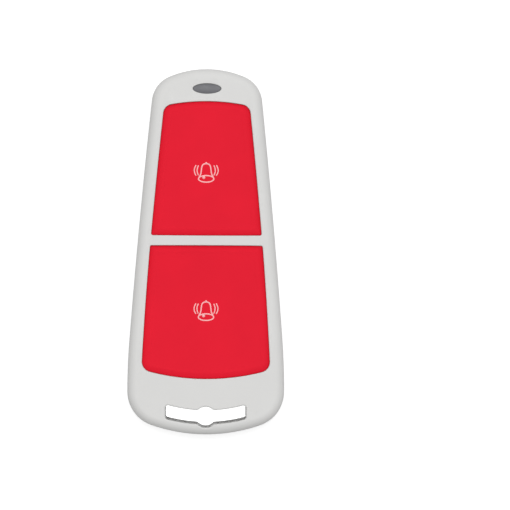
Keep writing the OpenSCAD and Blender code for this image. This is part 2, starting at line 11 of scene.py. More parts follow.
import bmesh
import bpy
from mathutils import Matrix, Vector

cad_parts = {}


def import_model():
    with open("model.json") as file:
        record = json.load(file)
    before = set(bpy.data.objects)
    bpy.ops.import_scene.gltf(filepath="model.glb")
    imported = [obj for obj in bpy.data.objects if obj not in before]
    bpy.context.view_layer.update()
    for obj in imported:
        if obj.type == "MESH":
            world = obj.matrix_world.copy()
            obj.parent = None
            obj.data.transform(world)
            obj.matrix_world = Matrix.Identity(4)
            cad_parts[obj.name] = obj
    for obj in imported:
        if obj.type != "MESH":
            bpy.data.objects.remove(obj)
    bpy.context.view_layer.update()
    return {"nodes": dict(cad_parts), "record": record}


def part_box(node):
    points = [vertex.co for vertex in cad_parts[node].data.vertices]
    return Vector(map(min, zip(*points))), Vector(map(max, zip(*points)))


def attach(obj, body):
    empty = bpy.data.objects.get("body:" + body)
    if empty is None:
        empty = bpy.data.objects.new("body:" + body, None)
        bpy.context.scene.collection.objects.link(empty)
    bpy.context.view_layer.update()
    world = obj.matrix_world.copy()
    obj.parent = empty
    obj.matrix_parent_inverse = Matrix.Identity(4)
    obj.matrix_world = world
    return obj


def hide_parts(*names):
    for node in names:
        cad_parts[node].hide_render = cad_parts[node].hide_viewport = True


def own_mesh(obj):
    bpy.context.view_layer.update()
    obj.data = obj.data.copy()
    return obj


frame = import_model()

MM = 0.001


def box_mm(node):
    """Lowest and highest corner of a CAD node in millimetres."""
    return [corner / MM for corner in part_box(node)]


# Heights and overall sizes, read from the frame
CASE_LOW, CASE_HIGH = box_mm("front_cover")
REAR_LOW, _ = box_mm("rear_cover")
KEY_LOW, KEY_HIGH = box_mm("upper_key")
LENS_LOW, LENS_HIGH = box_mm("lamp_lens")
LABEL_LOW, LABEL_HIGH = box_mm("rear_label")
CASE_LENGTH = CASE_HIGH.y - CASE_LOW.y
HIP_WIDTH = CASE_HIGH.x - CASE_LOW.x
FRONT = CASE_HIGH.z
PARTING = CASE_LOW.z
KEY_TOP = KEY_HIGH.z

# Case outline, as in the CAD model
SHOULDER_WIDTH = 24.8
CROWN_RADIUS = 21.5
SHOULDER_RADIUS = 6.5
FOOT_RADIUS = 37
HIP_RADIUS = 8
SIDE_RADIUS = 1800
EASE_RADIUS = 160
CASE_EDGE = 2
FRONT_WALL = 1.8
REAR_WALL = 1.4
SIDE_WALL = 1.9
RIM_WALL = 2.6
RIM_HEIGHT = 2.6
SEAM_DEPTH = 0.3
SEAM_HEIGHT = 0.25

# Key openings
BEZEL = 2.86
FOOT_BEZEL = 3.12
OPENING_RADIUS = 850
BAR_WIDTH = 2.2
BAR_OFFSET = 2.53
CROWN_MARGIN = 7.28
FOOT_MARGIN = 12.48
UPPER_ARCH = 45
LOWER_ARCH = 51
UPPER_CORNER = 2.2
LOWER_CORNER = 2.4
BAR_CORNER = 0.4
BAR_EDGE = 2000
LEAST_CORNER = 0.15
PLATE_UNDER = FRONT - FRONT_WALL

# Keys
KEY_GAP = 0.03
KEY_WALL = 1.5
FLANGE_REACH = 0.9
FLANGE_GAP = 0.05
FLANGE_HEIGHT = 0.95
FLANGE_LOW = PLATE_UNDER - FLANGE_GAP - FLANGE_HEIGHT
SKIRT_WALL = 1.2
NUB_RADIUS = 2
KEY_DISH = 0.05
# Face of a key from its edge inward: distance in from the edge, depth below the highest line
KEY_PROFILE = [
    (0, 0.50), (0.05, 0.43), (0.16, 0.36), (0.38, 0.26),
    (0.68, 0.15), (1.0, 0.065), (1.35, 0.015), (1.9, KEY_DISH),
]
PROFILE_STEPS = 3
UPPER_PRESS = 14.1
LOWER_PRESS = 14.8

# Lamp window
LAMP_WIDTH = 6.4
LAMP_HEIGHT = 2.3
LAMP_Y = (LENS_LOW.y + LENS_HIGH.y) / 2
LENS_GAP = 0.04
LENS_RIM_DROP = 0.12
LENS_EDGE = 0.06
LENS_FLANGE = 0.8
LENS_GUIDE = (3.0, 1.6)
LENS_REACHES = (0.99, 0.96, 0.9, 0.75, 0.55, 0.3)

# Silicone boots and snap domes
BOOT_FOOT = 6.4
BOOT_FOOT_HEIGHT = 0.6
BOOT_FLANK = 5.6
BOOT_WALL = 0.6
BOOT_SHOULDER = 1.2
BOOT_NOSE = 2.2
BOOT_NOSE_HEIGHT = 0.4
BOOT_CROWN = 0.9
BOOT_EASE = 0.22
BOOT_EASE_STEPS = 4
DOME_THICKNESS = 0.06
DOME_FLAT = 0.2
DOME_STEPS = 10

# Strap slot
SLOT_LENGTH = 18.1
SLOT_WIDTH = 3.1
SLOT_SETBACK = 3.9
SLOT_CORNER = 0.6
CORD_HOLE = 4.7
SLOT_BLEND = 0.8
SLOT_COLLAR = 2.2
SLOT_DRAFT = 0.10
CHAMBER_CORNER = 4

# Rear details
SCREW_HEAD_RECESS = 3.6
SCREW_PASS = 2.2
SCREW_PILOT = 1.86
SCREW_SEAT = 2.4
SCREW_BORE_TOP = 10.8
LABEL_GAP = 0.1
LABEL_CORNER = 1.5
LABEL_DEPTH = LABEL_HIGH.z
SCREW_SOFT_EDGE = 0.06
LABEL_SOFT_EDGE = 0.03
SOFT_SEGMENTS = 2
SOFT_FROM = math.radians(50)

# Fineness of the rebuilt outlines, and the small radius of moulded lips
TURN_STEP = 3
LENGTH_STEP = 0.8
EDGE_STEPS = 10
LIP = 0.16
SLOT_LIP = 0.32
LIP_STEPS = 4
HOLE_MARGIN = 0.06
ROUND_STEPS = 48
LEAST_STEPS = 3
SAME_POINT = 0.001
HOLE_STEPS = 10
BLEND_STEPS = 6
SLOT_SIDE_STEPS = 8
SLOT_HIGH_CORNER_STEPS = 10
SLOT_LOW_CORNER_STEPS = 8
BOX_CORNER_STEPS = 8
NORMAL_WEIGHT = 100


def crossing(a, a_radius, b, b_radius):
    """Crossing of two circles on the clockwise side of an outline."""
    apart = (b - a).length
    along = (b - a) / apart
    foot = (apart**2 + a_radius**2 - b_radius**2) / (2 * apart)
    height = math.sqrt(a_radius**2 - foot**2)
    return a + foot * along + height * Vector((along.y, -along.x))


def toward(a, b):
    return math.degrees(math.atan2(b.y - a.y, b.x - a.x))


def on_arc(centre, radius, angle):
    turn = math.radians(angle)
    return centre + radius * Vector((math.cos(turn), math.sin(turn)))


def arc(centre, radius, start, end, steps):
    return [on_arc(centre, radius, start + (end - start) * i / steps) for i in range(steps + 1)]


def fine_steps(radius, start, end):
    turn = abs(end - start)
    by_length = math.radians(turn) * radius / LENGTH_STEP
    return max(LEAST_STEPS, math.ceil(turn / TURN_STEP), math.ceil(by_length))


def mirrored(half):
    return half + [Vector((-p.x, p.y)) for p in reversed(half[1:-1])]


class Outline:
    """Outline of arcs from crown to foot that can be drawn in with the same points."""

    def __init__(self, shape):
        self.shape = shape
        self.steps = [fine_steps(*span) for span in self.spans(0)]

    def arcs(self, inset):
        found = []
        for i, (centre, radius, corner) in enumerate(self.shape):
            found.append((centre, radius - inset))
            if corner:
                r = max(corner - inset, LEAST_CORNER)
                after, after_radius, _ = self.shape[i + 1]
                found.append((crossing(centre, radius - inset - r, after, after_radius - inset - r), r))
        return found

    def spans(self, inset):
        arcs = self.arcs(inset)
        turns = [90]
        for a, b in zip(arcs, arcs[1:]):
            turns.append(toward(a[0], b[0]) if a[1] > b[1] else toward(b[0], a[0]))
        turns.append(-90)
        return [(r, turns[i], turns[i + 1]) for i, (_, r) in enumerate(arcs)]

    def ring(self, inset):
        half = []
        runs = zip(self.arcs(inset), self.spans(inset), self.steps)
        for (centre, radius), (_, start, end), steps in runs:
            points = arc(centre, radius, start, end, steps)
            half += points if not half else points[1:]
        return mirrored(half)


CROWN_CENTRE = Vector((0, CASE_LENGTH / 2 - CROWN_RADIUS))
FOOT_CENTRE = Vector((0, FOOT_RADIUS - CASE_LENGTH / 2))
SHOULDER_X = SHOULDER_WIDTH / 2 - SHOULDER_RADIUS
SHOULDER_Y = CROWN_CENTRE.y + math.sqrt((CROWN_RADIUS - SHOULDER_RADIUS) ** 2 - SHOULDER_X**2)
HIP_X = HIP_WIDTH / 2 - HIP_RADIUS
HIP_Y = FOOT_CENTRE.y - math.sqrt((FOOT_RADIUS - HIP_RADIUS) ** 2 - HIP_X**2)
EASE_CENTRE = Vector((HIP_WIDTH / 2 - EASE_RADIUS, HIP_Y))
SIDE_CENTRE = crossing(
    Vector((SHOULDER_X, SHOULDER_Y)), SIDE_RADIUS - SHOULDER_RADIUS,
    EASE_CENTRE, SIDE_RADIUS - EASE_RADIUS,
)
SLOT_RADIUS = FOOT_RADIUS - SLOT_SETBACK
SLOT_INNER = SLOT_RADIUS - SLOT_WIDTH / 2
SLOT_OUTER = SLOT_RADIUS + SLOT_WIDTH / 2
CORD_CENTRE = Vector((0, FOOT_CENTRE.y - SLOT_RADIUS))
BULKHEAD_FACE = SLOT_INNER - SLOT_COLLAR + SIDE_WALL
HOLE_RIM = CORD_HOLE / 2 + SLOT_LIP + HOLE_MARGIN
BAR_TOP = BAR_OFFSET + BAR_WIDTH / 2
BAR_BOTTOM = BAR_OFFSET - BAR_WIDTH / 2
UPPER_END = CASE_LENGTH / 2 - CROWN_MARGIN
LOWER_END = FOOT_MARGIN - CASE_LENGTH / 2
SIDE_END = SIDE_CENTRE + (EASE_CENTRE - SIDE_CENTRE).normalized() * SIDE_RADIUS


def side_place(y, border):
    """Point that leaves a border to the side of the case."""
    centre, radius = (SIDE_CENTRE, SIDE_RADIUS) if y > SIDE_END.y else (EASE_CENTRE, EASE_RADIUS)
    return Vector((centre.x + math.sqrt(radius**2 - (y - centre.y) ** 2) - border, y))


OPENING_CENTRE = crossing(
    side_place(BAR_BOTTOM, BEZEL), OPENING_RADIUS,
    side_place(LOWER_END + 2 * LOWER_CORNER, FOOT_BEZEL), OPENING_RADIUS,
)

CASE = Outline([
    (CROWN_CENTRE, CROWN_RADIUS, SHOULDER_RADIUS),
    (SIDE_CENTRE, SIDE_RADIUS, 0),
    (EASE_CENTRE, EASE_RADIUS, HIP_RADIUS),
    (FOOT_CENTRE, FOOT_RADIUS, 0),
])
CHAMBER = Outline([
    (CROWN_CENTRE, CROWN_RADIUS, SHOULDER_RADIUS),
    (SIDE_CENTRE, SIDE_RADIUS, 0),
    (EASE_CENTRE, EASE_RADIUS, CHAMBER_CORNER),
    (FOOT_CENTRE, BULKHEAD_FACE, 0),
])
UPPER = Outline([
    (Vector((0, UPPER_END - UPPER_ARCH)), UPPER_ARCH, UPPER_CORNER),
    (SIDE_CENTRE, SIDE_RADIUS - BEZEL, BAR_CORNER),
    (Vector((0, BAR_TOP + BAR_EDGE)), BAR_EDGE, 0),
])
LOWER = Outline([
    (Vector((0, BAR_BOTTOM - BAR_EDGE)), BAR_EDGE, BAR_CORNER),
    (OPENING_CENTRE, OPENING_RADIUS, LOWER_CORNER),
    (Vector((0, LOWER_END + LOWER_ARCH)), LOWER_ARCH, 0),
])


def slot_ring(outset):
    """The strap slot with its round middle, widened by an outset."""
    hole = CORD_HOLE / 2 + outset
    blend = SLOT_BLEND - outset
    corner = SLOT_CORNER + outset
    inner = SLOT_INNER - outset
    outer = SLOT_OUTER + outset
    x = SLOT_LENGTH / 2 - SLOT_CORNER
    high = crossing(FOOT_CENTRE, inner - blend, CORD_CENTRE, hole + blend)
    low = crossing(FOOT_CENTRE, outer + blend, CORD_CENTRE, hole + blend)
    high = Vector((abs(high.x), high.y))
    low = Vector((abs(low.x), low.y))
    end_high = Vector((x, FOOT_CENTRE.y - math.sqrt((inner + corner) ** 2 - x**2)))
    end_low = Vector((x, FOOT_CENTRE.y - math.sqrt((outer - corner) ** 2 - x**2)))
    foot = FOOT_CENTRE
    runs = [
        (CORD_CENTRE, hole, 90, toward(CORD_CENTRE, high), HOLE_STEPS),
        (high, blend, toward(high, CORD_CENTRE), toward(foot, high), BLEND_STEPS),
        (foot, inner, toward(foot, high), toward(foot, end_high), SLOT_SIDE_STEPS),
        (end_high, corner, toward(end_high, foot), 0, SLOT_HIGH_CORNER_STEPS),
        (end_low, corner, 0, toward(foot, end_low), SLOT_LOW_CORNER_STEPS),
        (foot, outer, toward(foot, end_low), toward(foot, low), SLOT_SIDE_STEPS),
        (low, blend, toward(low, foot), toward(low, CORD_CENTRE), BLEND_STEPS),
        (CORD_CENTRE, hole, toward(CORD_CENTRE, low), -90, HOLE_STEPS),
    ]
    half = []
    for centre, radius, start, end, steps in runs:
        points = arc(centre, radius, start, end, steps)
        apart = not half or (points[0] - half[-1]).length > SAME_POINT
        half += points if apart else points[1:]
    return mirrored(half)


def oval_ring(width, height, y):
    turns = [math.tau * i / ROUND_STEPS for i in range(ROUND_STEPS)]
    return [Vector((width / 2 * math.sin(t), y + height / 2 * math.cos(t))) for t in turns]


def circle_ring(centre, radius):
    turns = [math.tau * i / ROUND_STEPS for i in range(ROUND_STEPS)]
    return [centre + radius * Vector((math.sin(t), math.cos(t))) for t in turns]


def rounded_box_ring(low, high, corner, outset):
    """Rectangle with round corners between two corner points, widened by an outset."""
    r = corner + outset
    corners = [
        (high.x - corner, high.y - corner, 90), (high.x - corner, low.y + corner, 0),
        (low.x + corner, low.y + corner, -90), (low.x + corner, high.y - corner, -180),
    ]
    ring = []
    for x, y, start in corners:
        ring += arc(Vector((x, y)), r, start, start - 90, BOX_CORNER_STEPS)
    return ring


class Shell:
    """Mesh made of rings of points that are bridged, and filled where they lie in one plane."""

    def __init__(self):
        self.bm = bmesh.new()

    def ring(self, points, z):
        """Points at one height, or each at its own."""
        heights = z if isinstance(z, list) else [z] * len(points)
        return [self.bm.verts.new((p.x * MM, p.y * MM, h * MM)) for p, h in zip(points, heights)]

    def bridge(self, a, b):
        for i in range(len(a)):
            j = (i + 1) % len(a)
            self.bm.faces.new((a[i], a[j], b[j], b[i]))

    def loft(self, rings):
        for a, b in zip(rings, rings[1:]):
            self.bridge(a, b)

    def fill(self, *loops):
        edges = []
        for loop in loops:
            for i in range(len(loop)):
                pair = (loop[i], loop[(i + 1) % len(loop)])
                edges.append(self.bm.edges.get(pair) or self.bm.edges.new(pair))
        bmesh.ops.triangle_fill(self.bm, edges=edges, use_beauty=True)

    def piece(self, name, material, body, slot, *nodes):
        bmesh.ops.recalc_face_normals(self.bm, faces=self.bm.faces)
        mesh = bpy.data.meshes.new(name)
        self.bm.to_mesh(mesh)
        self.bm.free()
        for face in mesh.polygons:
            face.use_smooth = True
        made = bpy.data.objects.new(name, mesh)
        bpy.context.scene.collection.objects.link(made)
        made.data.materials.append(material)
        weighted = made.modifiers.new("face weighted normals", "WEIGHTED_NORMAL")
        weighted.weight = NORMAL_WEIGHT
        weighted.keep_sharp = True
        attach(made, body)
        if nodes:
            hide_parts(*nodes)
        return made


def quarter(steps):
    """Share of the radius drawn in and share dropped along a quarter-round edge, from the wall up."""
    turns = [math.pi / 2 * i / steps for i in range(steps + 1)]
    return [(1 - math.cos(t), 1 - math.sin(t)) for t in turns]


def lip_rings(shell, ring_at, face, direction):
    """Rings of a small rounded lip where an opening meets a face, from the face into the opening."""
    rings = []
    for drawn_in, dropped in reversed(quarter(LIP_STEPS)):
        rings.append(shell.ring(ring_at(LIP * drawn_in), face - direction * LIP * dropped))
    return rings


def widened(outline):
    return lambda outset: outline.ring(-outset)


def round_hole(place, radius):
    return lambda outset: circle_ring(place, radius + outset)


def lamp_hole(outset):
    return oval_ring(LAMP_WIDTH + 2 * outset, LAMP_HEIGHT + 2 * outset, LAMP_Y)


def edge_drop(p):
    """How far the rounded edge of the case has dropped at a point near the foot."""
    inset = min(FOOT_RADIUS - (p - FOOT_CENTRE).length, CASE_EDGE)
    return CASE_EDGE - math.sqrt(CASE_EDGE**2 - (CASE_EDGE - inset) ** 2)


def past_cord_hole(p):
    """The point, moved out to the rim of the cord hole where that cuts into the rounded edge."""
    if (p - CORD_CENTRE).length >= HOLE_RIM:
        return p
    out = (p - FOOT_CENTRE).normalized()
    shift = CORD_CENTRE - FOOT_CENTRE
    along = shift.dot(out)
    return FOOT_CENTRE + out * (along + math.sqrt(along**2 - shift.length_squared + HOLE_RIM**2))


# Materials: sizes and depths in millimetres, changes as shares, and first the part of its range
# that noise fills
NOISE_LOW = 0.3
NOISE_HIGH = 0.7
TONE_SIZE = 9
FINE_DETAIL = 3
GRAIN_ROUGHNESS = 0.6
SHEEN_CHANGE = 0.06
METAL_DARK = 0.88
METAL_LIGHT = 1.06
METAL_SHEEN_CHANGE = 0.08
METAL_STRETCH = (0.08, 1, 1)
WEAVE_SIZE = 0.5
WEAVE_DARK = (0.016, 0.150, 0.062)
WEAVE_LIGHT = (0.020, 0.175, 0.075)
MASK_GRAIN = 0.3
MASK_ROUGH = (0.26, 0.36)
MASK_DEPTH = 0.004
CASE_COLOUR = (0.662, 0.660, 0.650)
KEY_COLOUR = (0.766, 0.0125, 0.032)
LENS_COLOUR = (0.117, 0.117, 0.128)
INK_COLOUR = (0.98, 0.47, 0.48)
LABEL_COLOUR = (0.76, 0.76, 0.75)
SEAL_COLOUR = (0.03, 0.03, 0.03)
BOOT_COLOUR = (0.36, 0.40, 0.45)
HOLDER_COLOUR = (0.72, 0.68, 0.58)
SWITCH_COLOUR = (0.05, 0.05, 0.055)
EPOXY_COLOUR = (0.02, 0.02, 0.02)
CERAMIC_COLOUR = (0.45, 0.27, 0.14)
LED_COLOUR = (0.80, 0.80, 0.76)
SCREW_COLOUR = (0.56, 0.57, 0.58)
CONTACT_COLOUR = (0.62, 0.62, 0.60)
CELL_COLOUR = (0.60, 0.60, 0.60)
BRASS_COLOUR = (0.60, 0.42, 0.16)


class Tree:
    """Short way to add and join the nodes of a material or a world."""

    def __init__(self, owner):
        owner.use_nodes = True
        self.tree = owner.node_tree

    def add(self, kind, **values):
        made = self.tree.nodes.new(kind)
        for key, value in values.items():
            setattr(made, key, value)
        return made

    def join(self, out, into):
        self.tree.links.new(out, into)


class Nodes(Tree):
    """Short way to build a node material."""

    def __init__(self, name):
        self.material = bpy.data.materials.new(name)
        super().__init__(self.material)
        self.shader = self.tree.nodes["Principled BSDF"]
        self.where = self.add("ShaderNodeTexCoord").outputs["Object"]

    def noise(self, size, detail=2.0, roughness=0.5):
        """Noise whose features are about size millimetres across."""
        made = self.add("ShaderNodeTexNoise")
        made.inputs["Scale"].default_value = 1 / (size * MM)
        made.inputs["Detail"].default_value = detail
        made.inputs["Roughness"].default_value = roughness
        self.join(self.where, made.inputs["Vector"])
        return made.outputs["Fac"]

    def spread(self, value, low, high):
        made = self.add("ShaderNodeMapRange")
        made.inputs["From Min"].default_value = NOISE_LOW
        made.inputs["From Max"].default_value = NOISE_HIGH
        made.inputs["To Min"].default_value = low
        made.inputs["To Max"].default_value = high
        self.join(value, made.inputs["Value"])
        return made.outputs["Result"]

    def shades(self, value, dark, light):
        made = self.add("ShaderNodeMix", data_type="RGBA")
        made.inputs["A"].default_value = (*dark, 1)
        made.inputs["B"].default_value = (*light, 1)
        self.join(value, made.inputs["Factor"])
        return made.outputs["Result"]

    def bump(self, value, height, under=None):
        made = self.add("ShaderNodeBump")
        made.inputs["Distance"].default_value = height * MM
        made.inputs["Strength"].default_value = 1
        self.join(value, made.inputs["Height"])
        if under is not None:
            self.join(under, made.inputs["Normal"])
        return made.outputs["Normal"]


def toned(colour, share):
    return tuple(min(1.0, c * share) for c in colour)


def moulded(name, colour, rough, grain, depth, tone=0.03, gloss=0.5):
    """Moulded plastic or rubber: fine eroded grain, and broad faint changes of tone and sheen."""
    n = Nodes(name)
    broad = n.noise(TONE_SIZE, detail=FINE_DETAIL)
    fine = n.noise(grain, detail=FINE_DETAIL, roughness=GRAIN_ROUGHNESS)
    n.join(n.shades(n.spread(broad, 0, 1), toned(colour, 1 - tone), toned(colour, 1 + tone)),
           n.shader.inputs["Base Color"])
    n.join(n.spread(fine, rough - SHEEN_CHANGE, rough + SHEEN_CHANGE), n.shader.inputs["Roughness"])
    n.join(n.bump(fine, depth, under=n.bump(broad, depth)), n.shader.inputs["Normal"])
    n.shader.inputs["Specular IOR Level"].default_value = gloss
    return n.material


def metal(name, colour, rough, grain, depth):
    """Plated or drawn metal with fine streaks along X."""
    n = Nodes(name)
    stretch = n.add("ShaderNodeMapping")
    stretch.inputs["Scale"].default_value = METAL_STRETCH
    n.join(n.where, stretch.inputs["Vector"])
    n.where = stretch.outputs["Vector"]
    fine = n.noise(grain, detail=FINE_DETAIL)
    n.join(n.shades(n.spread(fine, 0, 1), toned(colour, METAL_DARK), toned(colour, METAL_LIGHT)),
           n.shader.inputs["Base Color"])
    n.join(n.spread(fine, rough - METAL_SHEEN_CHANGE, rough + METAL_SHEEN_CHANGE),
           n.shader.inputs["Roughness"])
    n.join(n.bump(fine, depth), n.shader.inputs["Normal"])
    n.shader.inputs["Metallic"].default_value = 1
    return n.material


def board_laminate():
    """Solder mask with the weave of the laminate showing faintly through."""
    n = Nodes("board laminate")
    weave = n.add("ShaderNodeTexChecker")
    weave.inputs["Scale"].default_value = 1 / (WEAVE_SIZE * MM)
    n.join(n.where, weave.inputs["Vector"])
    n.join(n.shades(weave.outputs["Fac"], WEAVE_DARK, WEAVE_LIGHT), n.shader.inputs["Base Color"])
    fine = n.noise(MASK_GRAIN)
    n.join(n.spread(fine, *MASK_ROUGH), n.shader.inputs["Roughness"])
    n.join(n.bump(fine, MASK_DEPTH), n.shader.inputs["Normal"])
    return n.material


case_plastic = moulded(
    "case plastic", CASE_COLOUR, rough=0.55, grain=0.28, depth=0.012, tone=0.012, gloss=0.3)
key_plastic = moulded(
    "key plastic", KEY_COLOUR, rough=0.66, grain=0.24, depth=0.010, tone=0.025, gloss=0.06)
print_ink = moulded(
    "print ink", INK_COLOUR, rough=0.45, grain=0.10, depth=0.003, tone=0.02, gloss=0.3)
lens_plastic = moulded(
    "smoked lens", LENS_COLOUR, rough=0.42, grain=1.2, depth=0.003, tone=0.05, gloss=0.3)
boot_rubber = moulded("boot rubber", BOOT_COLOUR, rough=0.62, grain=0.20, depth=0.008, tone=0.05)
contact_steel = metal("contact steel", CONTACT_COLOUR, rough=0.28, grain=0.10, depth=0.002)
SLOT_MATERIALS = {
    "case_plastic": case_plastic,
    "key_plastic": key_plastic,
    "lens_plastic": lens_plastic,
    "boot_rubber": boot_rubber,
    "contact_steel": contact_steel,
    "label_film": moulded(
        "label film", LABEL_COLOUR, rough=0.35, grain=0.60, depth=0.004, tone=0.015),
    "seal_rubber": moulded(
        "seal rubber", SEAL_COLOUR, rough=0.75, grain=0.20, depth=0.010, tone=0.15),
    "holder_plastic": moulded("holder plastic", HOLDER_COLOUR, rough=0.45, grain=0.25, depth=0.008),
    "switch_plastic": moulded(
        "switch plastic", SWITCH_COLOUR, rough=0.50, grain=0.15, depth=0.006, tone=0.1),
    "chip_epoxy": moulded("chip epoxy", EPOXY_COLOUR, rough=0.60, grain=0.08, depth=0.005, tone=0.2),
    "capacitor_ceramic": moulded(
        "capacitor ceramic", CERAMIC_COLOUR, rough=0.55, grain=0.10, depth=0.004, tone=0.1),
    "led_plastic": moulded("lamp body", LED_COLOUR, rough=0.25, grain=0.15, depth=0.003),
    "screw_steel": metal("screw steel", SCREW_COLOUR, rough=0.32, grain=0.12, depth=0.004),
    "cell_steel": metal("cell steel", CELL_COLOUR, rough=0.25, grain=0.15, depth=0.002),
    "antenna_brass": metal("antenna plating", BRASS_COLOUR, rough=0.30, grain=0.10, depth=0.002),
    "board_laminate": board_laminate(),
}
for row in frame["record"]["subparts"]:
    mesh = frame["nodes"][row["node"]].data
    mesh.materials.clear()
    mesh.materials.append(SLOT_MATERIALS[row["material_slot"]])


def edge_loops(shell, face, inward, base):
    """Rings of the case from its seam to a face, with the face's rounded edge."""
    rings = [shell.ring(CASE.ring(SEAM_DEPTH), PARTING)]
    rings.append(shell.ring(CASE.ring(SEAM_DEPTH), base - inward * LIP / 2))
    for drawn_in, dropped in reversed(quarter(LIP_STEPS)):
        rings.append(shell.ring(CASE.ring(LIP * drawn_in), base + inward * LIP * dropped))
    for drawn_in, dropped in quarter(EDGE_STEPS):
        points = []
        heights = []
        for p in CASE.ring(CASE_EDGE * drawn_in):
            moved = past_cord_hole(p)
            points.append(moved)
            heights.append(face - inward * (CASE_EDGE * dropped if moved is p else edge_drop(moved)))
        rings.append(shell.ring(points, heights))
    return rings


def slot_loops(shell, face, inward):
    """Rings of the strap slot with a rounded lip, which narrows from a face to the parting."""
    rings = []
    for drawn_in, dropped in reversed(quarter(LIP_STEPS)):
        points = slot_ring(SLOT_LIP * drawn_in)
        heights = [face - inward * (SLOT_LIP * dropped + edge_drop(p)) for p in points]
        rings.append(shell.ring(points, heights))
    rings.append(shell.ring(slot_ring(-SLOT_DRAFT), PARTING))
    shell.loft(rings)
    return rings


def front_cover():
    """Front wall with its openings, side wall with a rounded edge, and the screw bores."""
    shell = Shell()
    outside = edge_loops(shell, FRONT, 1, PARTING + SEAM_HEIGHT)
    shell.loft(outside)
    holes = []
    ceiling = []
    for ring_at in (widened(UPPER), widened(LOWER), lamp_hole):
        rings = lip_rings(shell, ring_at, FRONT, 1)
        rings.append(shell.ring(ring_at(0), PLATE_UNDER))
        shell.loft(rings)
        holes.append(rings[0])
        ceiling.append(rings[-1])
    slot = slot_loops(shell, FRONT, 1)
    shell.fill(outside[-1], *holes, slot[0])
    chamber = [
        shell.ring(CHAMBER.ring(SIDE_WALL), PLATE_UNDER),
        shell.ring(CHAMBER.ring(SIDE_WALL), PARTING + RIM_HEIGHT),
        shell.ring(CHAMBER.ring(RIM_WALL), PARTING + RIM_HEIGHT),
        shell.ring(CHAMBER.ring(RIM_WALL), PARTING),
    ]
    shell.loft(chamber)
    shell.fill(chamber[0], *ceiling)
    bores = []
    for place in screw_places():
        mouth = shell.ring(circle_ring(place, SCREW_PILOT / 2), PARTING)
        end = shell.ring(circle_ring(place, SCREW_PILOT / 2), SCREW_BORE_TOP)
        shell.bridge(mouth, end)
        shell.fill(end)
        bores.append(mouth)
    shell.fill(outside[0], chamber[-1], slot[-1], *bores)
    shell.piece("front_cover_shell", case_plastic, "case", "case_plastic", "front_cover")


def screw_places():
    """Middles of the two case screws, from the box of both."""
    low, high = box_mm("case_screws")
    head = (high.y - low.y) / 2
    return [Vector((side * (high.x - head), (low.y + high.y) / 2)) for side in (-1, 1)]


def rear_cover():
    """Rear wall with the label's recess and the screws' counterbores."""
    shell = Shell()
    outside = edge_loops(shell, REAR_LOW.z, -1, PARTING - SEAM_HEIGHT)
    shell.loft(outside)
    slot = slot_loops(shell, REAR_LOW.z, -1)
    low = Vector((LABEL_LOW.x - LABEL_GAP, LABEL_LOW.y - LABEL_GAP))
    high = Vector((LABEL_HIGH.x + LABEL_GAP, LABEL_HIGH.y + LABEL_GAP))

    def label_ring(outset):
        return rounded_box_ring(low, high, LABEL_CORNER, outset)

    label = []
    for drawn_in, dropped in reversed(quarter(LIP_STEPS)):
        label.append(shell.ring(label_ring(LIP / 2 * drawn_in), REAR_LOW.z + LIP / 2 * dropped))
    label.append(shell.ring(label_ring(0), LABEL_DEPTH))
    shell.loft(label)
    shell.fill(label[-1])
    chamber = [
        shell.ring(CHAMBER.ring(RIM_WALL), PARTING),
        shell.ring(CHAMBER.ring(RIM_WALL), REAR_WALL),
    ]
    shell.bridge(*chamber)
    shell.fill(chamber[-1])
    recesses = []
    passes = []
    for place in screw_places():
        recess = lip_rings(shell, round_hole(place, SCREW_HEAD_RECESS / 2), REAR_LOW.z, -1)
        recess.append(shell.ring(circle_ring(place, SCREW_HEAD_RECESS / 2), SCREW_SEAT))
        recess.append(shell.ring(circle_ring(place, SCREW_PASS / 2), SCREW_SEAT))
        recess.append(shell.ring(circle_ring(place, SCREW_PASS / 2), PARTING))
        shell.loft(recess)
        recesses.append(recess[0])
        passes.append(recess[-1])
    shell.fill(outside[-1], slot[0], label[0], *recesses)
    shell.fill(outside[0], chamber[0], slot[-1], *passes)
    shell.piece("rear_cover_shell", case_plastic, "case", "case_plastic", "rear_cover")


def key(side, outline, place):
    """Key with a pillowed edge, a faintly dished face and its flange below."""
    shell = Shell()
    rings = [shell.ring(outline.ring(KEY_GAP + SKIRT_WALL), KEY_TOP - KEY_WALL)]
    rings.append(shell.ring(outline.ring(KEY_GAP + SKIRT_WALL), FLANGE_LOW))
    rings.append(shell.ring(outline.ring(KEY_GAP - FLANGE_REACH), FLANGE_LOW))
    rings.append(shell.ring(outline.ring(KEY_GAP - FLANGE_REACH), PLATE_UNDER - FLANGE_GAP))
    rings.append(shell.ring(outline.ring(KEY_GAP), PLATE_UNDER - FLANGE_GAP))
    for p in smooth_line([Vector(p) for p in KEY_PROFILE], PROFILE_STEPS):
        rings.append(shell.ring(outline.ring(KEY_GAP + p.x), KEY_TOP - p.y))
    shell.loft(rings)
    shell.fill(rings[-1])
    nub = [
        shell.ring(circle_ring(place, NUB_RADIUS), KEY_TOP - KEY_WALL),
        shell.ring(circle_ring(place, NUB_RADIUS), KEY_LOW.z),
    ]
    shell.bridge(*nub)
    shell.fill(nub[-1])
    shell.fill(rings[0], nub[0])
    shell.piece(f"{side}_key_cap", key_plastic, f"{side}_key", "key_plastic", f"{side}_key")


UPPER_PLACE = Vector((0, BAR_TOP + UPPER_PRESS))
LOWER_PLACE = Vector((0, BAR_BOTTOM - LOWER_PRESS))

